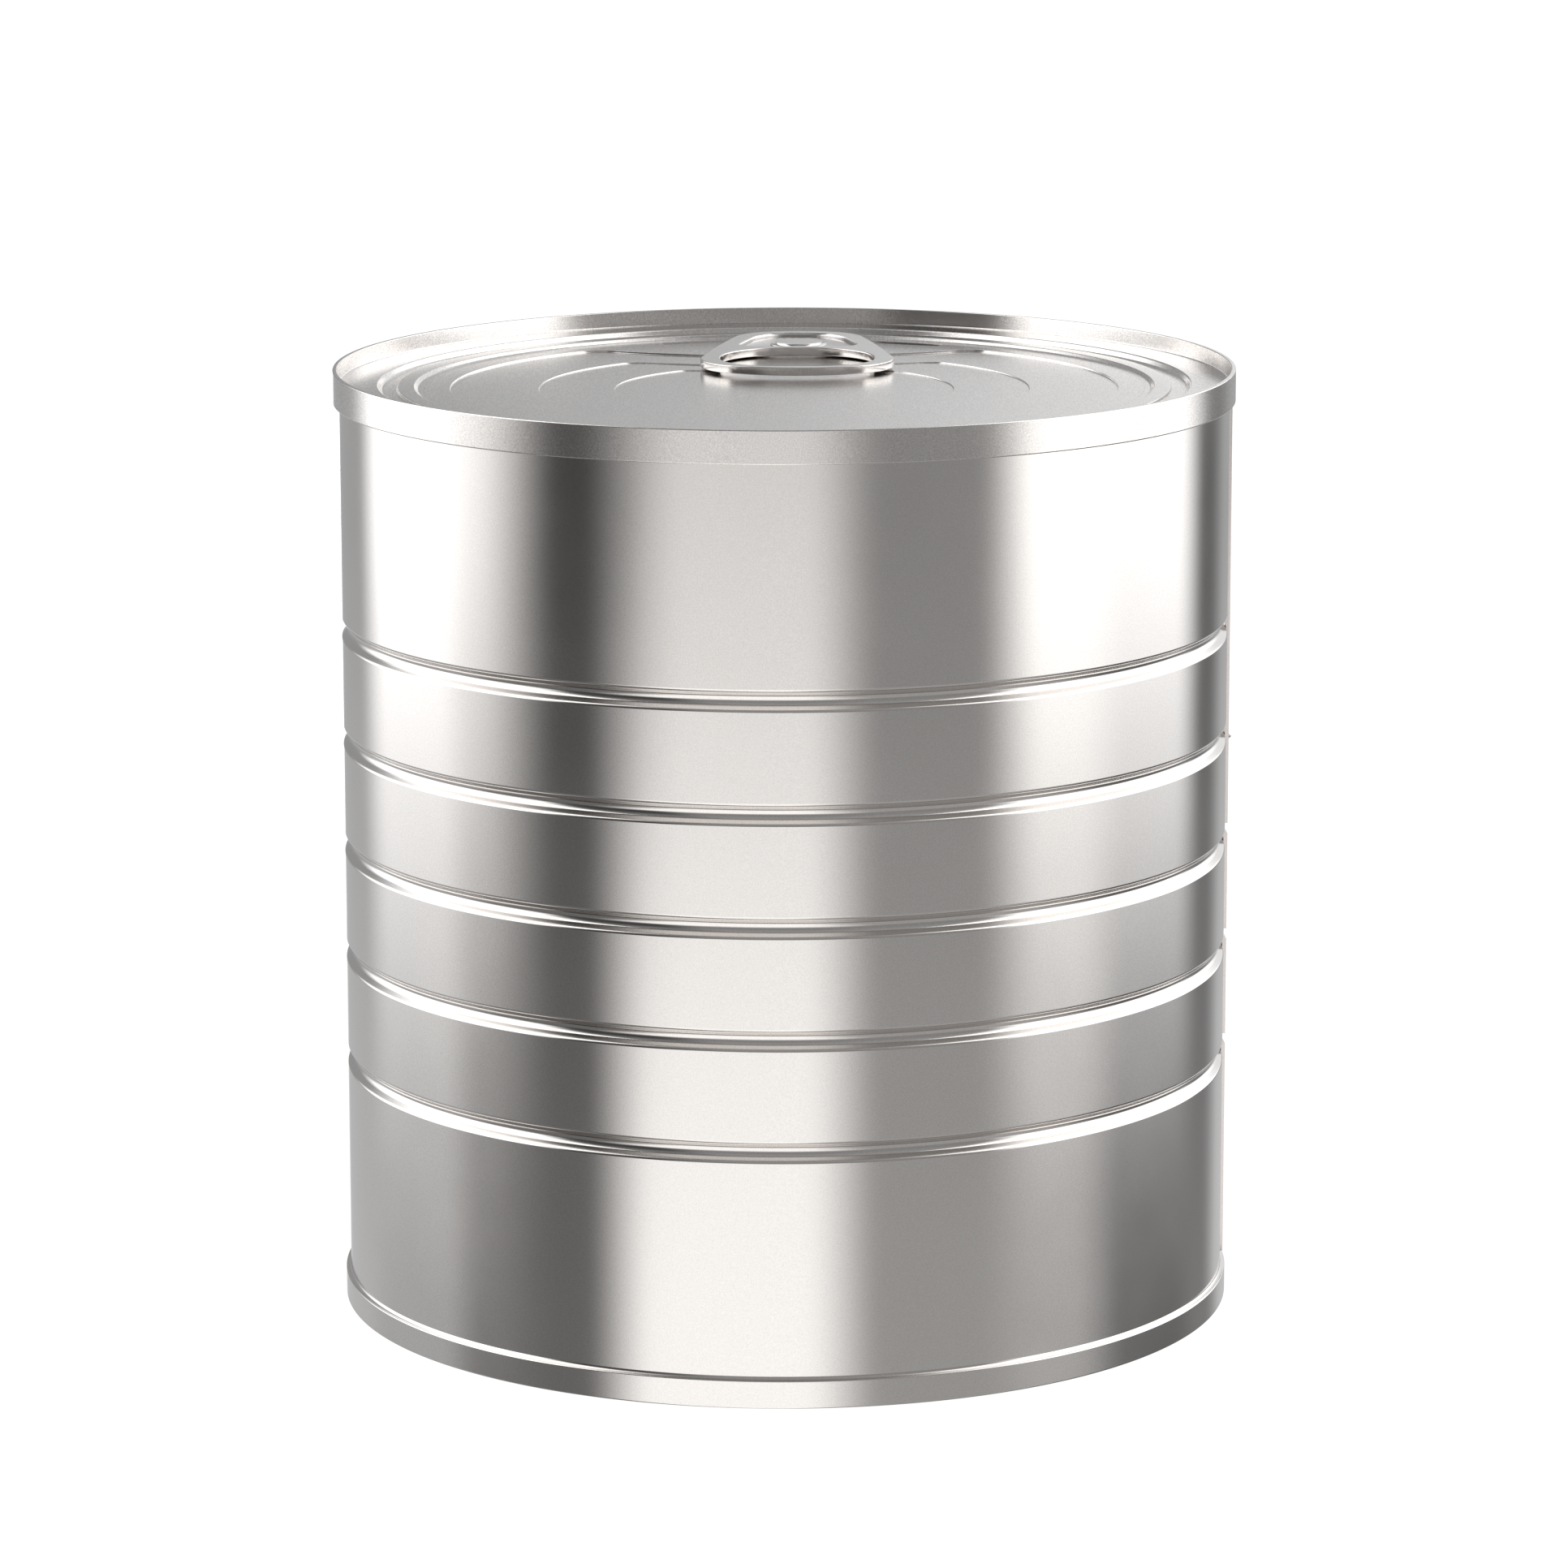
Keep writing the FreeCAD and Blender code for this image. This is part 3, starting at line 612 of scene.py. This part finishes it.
@dataclass(frozen=True)
class Field:
    """One stepped field of the end panel: a circle whose back is cut by an arc that bows in towards the axis.

    Attributes:
        radius: the field's circle.
        back: axis to the middle of the back edge.
        sweep: radius of the back edge.
        corner: rounding where the back edge meets the circle.
        drop: how far the field lies below what is round it.
        soft: half the width of the step down into it.
        reached: how far the grid's rows reach across the step, in halves of its width.
        rows: how many rows lie across the step.
    """

    radius: float
    back: float
    sweep: float
    corner: float
    drop: float
    soft: float = 0.045
    reached: float = 1.05
    rows: int = 9

    def reach(self, angle: np.ndarray) -> np.ndarray:
        """How far the field's edge lies from the axis.

        With t the ray's angle from +Y and c = back + sweep, the ray meets the back arc at
        c cos(t) - sqrt(sweep^2 - c^2 sin(t)^2). The corner's arc touches the back arc and the circle. Its
        centre is radius - corner from the axis and sweep + corner from the back arc's centre.

        Args:
            angle: the ray's angle from +X, in radians.

        Returns:
            The reach in millimetres.
        """
        turn = np.abs((angle - math.pi / 2 + math.pi) % TURN - math.pi)
        centre = self.back + self.sweep
        far, off = self.radius - self.corner, self.sweep + self.corner
        end = math.acos((far ** 2 + centre ** 2 - off ** 2) / (2 * far * centre))
        across, along = far * math.sin(end), far * math.cos(end)
        share = self.corner / off
        start = math.atan2(across * (1 - share), along + (centre - along) * share)
        arc = centre * np.cos(turn) - np.sqrt(np.maximum(self.sweep ** 2 - (centre * np.sin(turn)) ** 2, 0))
        inside = self.corner ** 2 - (far * np.sin(turn - end)) ** 2
        bend = far * np.cos(turn - end) + np.sqrt(np.maximum(inside, 0))
        return np.where(turn < start, arc, np.where(turn < end, bend, self.radius))

    def edge(self, angle: np.ndarray) -> tuple[np.ndarray, np.ndarray]:
        """Where the field's edge lies and how it leans.

        Args:
            angle: columns of angles, in radians.

        Returns:
            The reach, and the cosine between the radius and the line square across the edge.
        """
        reach = self.reach(angle)
        return reach, 1 / np.sqrt(1 + (np.gradient(reach, angle) / reach) ** 2)

    def band(self, angle: np.ndarray) -> np.ndarray:
        """Rows of radii across the step, evenly from just outside one end of it to just outside the other.

        Args:
            angle: columns of angles, in radians.

        Returns:
            The rows.
        """
        reach, lean = self.edge(angle)
        return reach + np.linspace(-self.reached, self.reached, self.rows)[:, None] * self.soft / lean

    def relief(self, radius: np.ndarray, angle: np.ndarray) -> tuple[np.ndarray, np.ndarray, np.ndarray]:
        """What the field adds to the panel: an ease of the distance square across its edge.

        Args:
            radius: rows x columns of radii.
            angle: columns of angles, in radians.

        Returns:
            Height, slope along the radius and slope along the angle.
        """
        reach, lean = self.edge(angle)
        rise, slope = ease((radius - reach) * lean / self.soft)
        outward = self.drop * slope * lean / self.soft
        return self.drop * (rise - 1), outward, -outward * np.gradient(reach, angle)


@dataclass(frozen=True)
class Slot:
    """The curved slot behind the tab: an arc about the can's axis, with square ends.

    Attributes:
        radius: its middle line.
        width: its width.
        depth: its depth.
        middle: its middle's angle from +X, in degrees.
        half: half of the angle that it spans, in degrees.
        soft: half the width of its walls' slope.
        reached: how far the grid's rows reach across a wall, in halves of its slope's width.
        rows: how many rows lie across a wall.
        clear: where the rows start to swing outwards, in halves of the slot's angle from its middle.
        bend: how much farther on they have swung.
        swings: how far the inner wall's rows and the outer wall's rows swing.
    """

    radius: float = 39.0
    width: float = 1.7
    depth: float = 0.27
    middle: float = 86.8
    half: float = 25.0
    soft: float = 0.05
    reached: float = 1.1
    rows: int = 7
    clear: float = 1.03
    bend: float = 0.15
    swings: tuple[float, float] = (0.9, 0.54)

    def bands(self, angle: np.ndarray) -> list[np.ndarray]:
        """Rows of radii across the inner wall and across the outer wall.

        Past the slot's two ends the rows swing outwards, the outer wall's less than the inner wall's, so that
        both keep clear of the corners.

        Args:
            angle: columns of angles, in radians.

        Returns:
            The inner wall's rows and the outer wall's rows.
        """
        off = np.abs(angle - math.radians(self.middle)) / math.radians(self.half)
        swung = np.clip((off - self.clear) / self.bend, 0, 1)
        across = np.linspace(-self.reached, self.reached, self.rows)[:, None] * self.soft
        walls = (self.radius - self.width / 2, self.radius + self.width / 2)
        return [wall + swung * swing + across for wall, swing in zip(walls, self.swings)]

    def relief(self, radius: np.ndarray, angle: np.ndarray) -> tuple[np.ndarray, np.ndarray, np.ndarray]:
        """What the slot takes from the panel: an ease across its width times an ease along its length.

        Args:
            radius: rows x columns of radii.
            angle: columns of angles, in radians.

        Returns:
            Height, slope along the radius and slope along the angle.
        """
        turn = angle - math.radians(self.middle)
        across, cut = ease((self.width / 2 - np.abs(radius - self.radius)) / self.soft)
        along, close = ease((math.radians(self.half) - np.abs(turn)) * self.radius / self.soft)
        outward = self.depth * cut * np.sign(radius - self.radius) / self.soft * along
        sideways = self.depth * across * close * np.sign(turn) * self.radius / self.soft
        return -self.depth * across * along, outward, sideways


@dataclass
class PullEnd:
    """The ring-pull end: the upper double seam, the chuck wall, the ledge, the score line and the panel.

    Attributes:
        top: height of the rim.
        rim: outside of the seam.
        seam: height of the seam.
        flat: width of the flat on the rim.
        wall: radius of the can's wall.
        chuck: rim down to the ledge.
        draft: draft of the chuck wall.
        step: radius of the outer step.
        floor: depth of the floor inside the outer step.
        score: radius of the score line.
        ring: depth of the ring inside the score line.
        panel: radius of the inner step.
        level: depth of the panel.
        slant: how far each of the two steps slants in.
        score_slant: how far the score line's wall slants in.
        inside: radius at which the turned profile ends and the panel's grid takes over.
        roundings: rounding of each of the profile's corners, from the seam's lower edge in.
        fields: the stepped fields, from the outer one in.
        slot: the curved slot.
        arc_points: points on each rounding of the profile.
        columns: how many columns of the profile go round.
        panel_columns: how many columns of the panel go round.
        field_rows: how many rows of the panel lie inside each field's step.
        slot_rows: how many lie inside each of the slot's walls.
        last_rows: how many lie outside the slot.
        overlap: how far the panel's grid reaches past the profile's end.
    """

    top: float = CAN_HEIGHT
    rim: float = WALL_RADIUS + 0.65
    seam: float = UPPER_SEAM
    flat: float = 0.49
    wall: float = WALL_RADIUS
    chuck: float = 1.82
    draft: float = 0.2
    step: float = 46.45
    floor: float = 2.45
    score: float = 44.3
    ring: float = 2.07
    panel: float = 42.3
    level: float = 2.42
    slant: float = 0.4
    score_slant: float = 0.1
    inside: float = 41.2
    roundings: tuple[float, ...] = (0.14, 0.12, 0.1, 0.16, 0.28, 0.28, 0.06, 0.14, 0.22, 0.22)
    fields: tuple[Field, ...] = (
        Field(radius=38.2, back=25.5, sweep=46.7, corner=4.0, drop=0.19),
        Field(radius=28.05, back=18.6, sweep=53.0, corner=3.0, drop=0.12),
        Field(radius=19.4, back=14.9, sweep=90.0, corner=3.0, drop=0.11),
    )
    slot: Slot = Slot()
    arc_points: int = 9
    columns: int = 840
    panel_columns: int = 1000
    field_rows: int = 7
    slot_rows: int = 3
    last_rows: int = 2
    overlap: float = 0.01

    def profile(self) -> tuple[np.ndarray, np.ndarray]:
        """The seam and what lies inside it, from the wall round over the rim and in to the panel.

        Returns:
            Points and unit normals, each n x 2.
        """
        top, lip = self.top, self.rim - self.flat
        spots = [(self.wall, top - self.seam),
                 (self.rim, top - self.seam),
                 (self.rim, top),
                 (lip, top),
                 (lip - self.draft, top - self.chuck),
                 (self.step, top - self.chuck),
                 (self.step - self.slant, top - self.floor),
                 (self.score, top - self.floor),
                 (self.score - self.score_slant, top - self.ring),
                 (self.panel, top - self.ring),
                 (self.panel - self.slant, top - self.level),
                 (self.inside, top - self.level)]
        corners = [(*spot, edge) for spot, edge in zip(spots, (0.0, *self.roundings, 0.0))]
        return rounded(corners, self.arc_points)

    def relief(self, radius: np.ndarray, angle: np.ndarray) -> tuple[np.ndarray, np.ndarray, np.ndarray]:
        """The panel's height and its slopes: the panel's level and what each field and the slot add to it.

        Args:
            radius: rows x columns of radii.
            angle: columns of angles, in radians.

        Returns:
            Height, slope along the radius and slope along the angle.
        """
        parts = [part.relief(radius, angle) for part in (*self.fields, self.slot)]
        height, outward, sideways = (sum(kind) for kind in zip(*parts))
        return self.top - self.level + height, outward, sideways

    def panel_grid(self) -> tuple[np.ndarray, np.ndarray]:
        """The panel as a grid whose rows follow the fields' edges and the slot's walls.

        A point at radius r and angle a lies at (r cos a, r sin a, height), and its normal is square to both
        of the surface's slopes there. The first row is the pole.

        Returns:
            Points and unit normals, each rows x columns x 3.
        """
        angle = np.arange(self.panel_columns) * TURN / self.panel_columns
        rows = [np.full((1, self.panel_columns), POLE / 10)]
        for part in reversed(self.fields):
            band = part.band(angle)
            rows += [between(rows[-1][-1], band[0], self.field_rows), band]
        for band in self.slot.bands(angle):
            rows += [between(rows[-1][-1], band[0], self.slot_rows), band]
        last = np.full((1, self.panel_columns), self.inside + self.overlap)
        rows += [between(rows[-1][-1], last[0], self.last_rows), last]
        radius = np.concatenate(rows)
        height, outward, sideways = self.relief(radius, angle)
        cos, sin = np.cos(angle), np.sin(angle)
        points = np.stack([radius * cos, radius * sin, height], axis=-1)
        tilt = sideways / radius
        normals = np.stack([-(outward * cos - tilt * sin), -(outward * sin + tilt * cos),
                            np.ones(radius.shape)], axis=-1)
        return points, normals / np.linalg.norm(normals, axis=-1, keepdims=True)

    def build(self, metal: bpy.types.Material) -> None:
        """Make the seam and the panel and dress them.

        Args:
            metal: their material.
        """
        dress(lathe("upper_seam", self.profile(), self.columns), metal, ["pull_end"])
        dress(skin("end_panel", *self.panel_grid()), metal)


@dataclass
class Fittings:
    """The pull tab, its rivet and the runs of the side seam.

    Attributes:
        tab_angle: edges of the tab sharper than this many degrees stay sharp. The well's walls slope by
            little more.
        angle: the same for the other pieces.
    """

    frame: dict[str, object]
    tab_angle: float = 12.0
    angle: float = 40.0

    def build(self, steel: bpy.types.Material, weld: bpy.types.Material) -> None:
        """Copy and dress the tab, the rivet, the side seam and the drop of solder.

        Args:
            steel: the material of the tab and the rivet.
            weld: the material of the side seam and the drop.
        """
        nodes = self.frame["nodes"]
        dress(smooth_copy("tab_plate", nodes["pull_tab"], self.tab_angle), steel, ["pull_tab"])
        dress(smooth_copy("rivet_head", nodes["rivet"], self.angle), steel, ["rivet"])
        for name in sorted(nodes):
            if name.startswith("side_seam") or name == "seam_drop":
                dress(smooth_copy(f"{name}_strip", nodes[name], self.angle), weld, [name])


# ------------------------------------------------------------------ studio

@dataclass(frozen=True)
class Card:
    """One stretch of the studio's surroundings, as the metal mirrors it.

    Attributes:
        start: the bearing at which it begins, in degrees from the camera's side, positive to its right.
        soft: half the width of the change from the stretch before it.
        low: brightness at the lower end of its band.
        high: brightness at the upper end of its band.
    """

    start: float
    soft: float
    low: float
    high: float


@dataclass
class Studio:
    """Plain soft light: a bright screen on each side, a dimmer room before and behind, and a pale table.

    Attributes:
        gain: what the surroundings are multiplied by, for the metal's own darkness.
        zenith: brightness straight above.
        table: the band from where the table lies near to where it ends, from the back on the left round to
            the back on the right.
        room: the band from a little over the horizon to high up, in the same order.
        table_rise: the elevations, in degrees, of the table band's two ends.
        table_power: how late the change from the one to the other comes.
        room_edge: the elevations between which the table's band gives way to the room's.
        room_rise: the elevations of the room band's two ends.
        zenith_edge: the elevations between which the room gives way to the zenith.
        cool_edge: the bearings, either way, between which the light turns cooler.
        cool: how much more green and blue the cooler light has.
    """

    gain: float = 1.34
    zenith: float = 0.22
    table_rise: tuple[float, float] = (-16.3, -9.2)
    table_power: float = 1.65
    room_edge: tuple[float, float] = (-9.0, 3.0)
    room_rise: tuple[float, float] = (20.0, 50.0)
    zenith_edge: tuple[float, float] = (58.0, 76.0)
    cool_edge: tuple[float, float] = (75.0, 110.0)
    cool: tuple[float, float] = (0.012, 0.025)
    table: tuple[Card, ...] = (
        Card(-200.0, 1.0, 0.60, 1.9),
        Card(-170.0, 2.0, 0.395, 0.295),
        Card(-133.5, 9.5, 0.32, 1.34),
        Card(-93.0, 8.0, 0.15, 1.0),
        Card(-74.0, 14.5, 0.122, 0.042),
        Card(-43.0, 10.0, 0.96, 0.30),
        Card(-33.0, 8.0, 0.96, 0.615),
        Card(14.7, 10.5, 0.29, 0.2),
        Card(60.0, 10.5, 0.32, 1.34),
        Card(89.5, 10.0, 0.1, 1.18),
        Card(129.5, 9.0, 0.17, 0.095),
        Card(151.0, 9.0, 0.425, 0.288),
    )
    room: tuple[Card, ...] = (
        Card(-200.0, 1.0, 0.41, 0.35),
        Card(-177.5, 3.0, 0.245, 0.35),
        Card(-140.0, 10.0, 1.4, 1.3),
        Card(-64.0, 7.0, 0.045, 0.15),
        Card(-27.0, 7.0, 0.21, 0.25),
        Card(61.0, 7.0, 1.4, 1.3),
        Card(151.0, 9.0, 0.66, 0.35),
        Card(178.0, 3.0, 0.41, 0.35),
    )

    @staticmethod
    def levels(cards: Sequence[Card], bearing: Wire) -> tuple[Wire, Wire]:
        """A band's brightness by bearing: each card takes over from the one before it where it starts.

        Args:
            cards: the band's cards, in the order of their bearings.
            bearing: the bearing looked in, in degrees.

        Returns:
            Brightness at the band's lower end and at its upper end.
        """
        low: Wire | float = cards[0].low
        high: Wire | float = cards[0].high
        for card in cards[1:]:
            low = bearing.ramp(card.start - card.soft, card.start + card.soft, low, card.low)
            high = bearing.ramp(card.start - card.soft, card.start + card.soft, high, card.high)
        return low, high

    def surroundings(self, bearing: Wire, rise: Wire) -> Wire:
        """Brightness by direction: the table's band, the room's band, and the zenith above them.

        Args:
            bearing: the bearing looked in, in degrees.
            rise: the elevation looked in, in degrees.

        Returns:
            The brightness.
        """
        table, away = self.levels(self.table, bearing)
        above, high = self.levels(self.room, bearing)
        start, end = self.table_rise
        share = rise.shader.add("ShaderNodeMapRange", {"clamp": True}, {0: rise, 1: start, 2: end})
        near = table + (away - table) * share.power(self.table_power)
        room = rise.ramp(*self.room_rise, rise.ramp(*self.room_edge, near, above), high)
        return rise.ramp(*self.zenith_edge, room, self.zenith)

    def build(self) -> None:
        """Make the world. The camera sees it white, and the metal mirrors the surroundings."""
        world = bpy.data.worlds.new("studio")
        bpy.context.scene.world = world
        world.use_nodes = True
        shader = Shader(world.node_tree)
        way = shader.node("ShaderNodeTexCoord").outputs["Generated"]
        x, y, z = (Wire(shader, part) for part in shader.node("ShaderNodeSeparateXYZ", {}, {0: way}).outputs)
        bearing = shader.add("ShaderNodeMath", {"operation": "ARCTAN2"}, {0: x, 1: -y}) * (180 / math.pi)
        rise = shader.add("ShaderNodeMath", {"operation": "ARCSINE"}, {0: z}) * (180 / math.pi)
        light = self.surroundings(bearing, rise) * self.gain
        aside = abs(bearing).ramp(*self.cool_edge)
        green, blue = (light * (aside * more + 1.0) for more in self.cool)
        tint = shader.add("ShaderNodeCombineXYZ", {}, {0: light, 1: green, 2: blue})
        back = shader.node("ShaderNodeBackground", {}, {"Color": tint, "Strength": 1.0})
        white = shader.node("ShaderNodeBackground", {}, {"Color": (1, 1, 1, 1), "Strength": 1.0})
        seen = shader.node("ShaderNodeLightPath").outputs["Is Camera Ray"]
        both = shader.node("ShaderNodeMixShader", {}, {0: seen, 1: back.outputs[0], 2: white.outputs[0]})
        shader.node("ShaderNodeOutputWorld", {}, {"Surface": both.outputs[0]})


@dataclass
class Table:
    """The pale table under the can. The camera sees it nearly white, with a faint shadow left.

    Attributes:
        half: half of its width and length.
        sunk: how far its face lies under the can's foot.
        paint: how much light it gives back.
        glow: brightness of the white that the camera sees over the paint.
        cover: how much of the paint that white covers.
    """

    half: float = 3000.0
    sunk: float = 0.02
    paint: float = 0.85
    glow: float = 1.1
    cover: float = 0.9

    def build(self) -> None:
        """Make the table and leave it out of the part."""
        sides = np.array((-self.half, self.half))
        x, y = np.meshgrid(sides, sides)
        grid = np.stack([x, y, np.full(x.shape, -self.sunk)], axis=-1)
        thing = skin("table", grid, np.broadcast_to((0.0, 0.0, 1.0), grid.shape), around=False)
        made = bpy.data.materials.new("table_white")
        made.use_nodes = True
        shader = Shader(made.node_tree)
        seen = Wire(shader, shader.node("ShaderNodeLightPath").outputs["Is Camera Ray"])
        paint = shader.node("ShaderNodeBsdfDiffuse", {}, {"Color": (self.paint, self.paint, self.paint, 1)})
        glow = shader.node("ShaderNodeEmission", {}, {"Color": (1, 1, 1, 1), "Strength": self.glow})
        both = shader.node("ShaderNodeMixShader", {}, {0: seen * self.cover, 1: paint.outputs[0],
                                                       2: glow.outputs[0]})
        shader.node("ShaderNodeOutputMaterial", {}, {"Surface": both.outputs[0]})
        thing.data.materials.append(made)
        thing.visible_glossy = False


@dataclass
class Viewpoint:
    """The camera: where it stands, how far it looks down and its lens.

    Attributes:
        distance: in front of the can's axis.
        height: above the table.
        aside: to the right of the can's axis.
        down: how far it looks down, in degrees.
        roll: how far it is turned about its own axis, in degrees.
        lens: focal length.
        sensor: width of the sensor.
        reach: the nearest and the farthest that it sees, in metres.
    """

    distance: float = 744.5
    height: float = 210.7
    aside: float = -0.09
    down: float = 11.462
    roll: float = -0.092
    lens: float = 150.47
    sensor: float = 36.0
    reach: tuple[float, float] = (0.01, 20.0)

    def build(self) -> None:
        """Make the camera and set it as the scene's."""
        data = bpy.data.cameras.new("camera")
        data.lens = self.lens
        data.sensor_width = self.sensor
        data.clip_start, data.clip_end = self.reach
        thing = bpy.data.objects.new("camera", data)
        bpy.context.scene.collection.objects.link(thing)
        tip = Matrix.Rotation(math.radians(90 - self.down), 4, "X")
        thing.matrix_world = (Matrix.Translation((self.aside * MM, -self.distance * MM, self.height * MM))
                              @ tip @ Matrix.Rotation(math.radians(self.roll), 4, "Z"))
        bpy.context.scene.camera = thing


def main() -> None:
    """Build the view, the studio and the can, in order."""
    logging.basicConfig(level=logging.INFO, format="%(name)s %(message)s")
    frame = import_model()
    bpy.context.scene.view_settings.view_transform = "Standard"
    Viewpoint().build()
    Studio().build()
    Table().build()
    tinplate = TINPLATE.material()
    Wall().build(tinplate)
    BaseEnd().build(tinplate)
    PullEnd().build(END_PLATE.material())
    Fittings(frame).build(TAB_STEEL.material(), WELD.material())


if __name__ == "__main__":
    main()
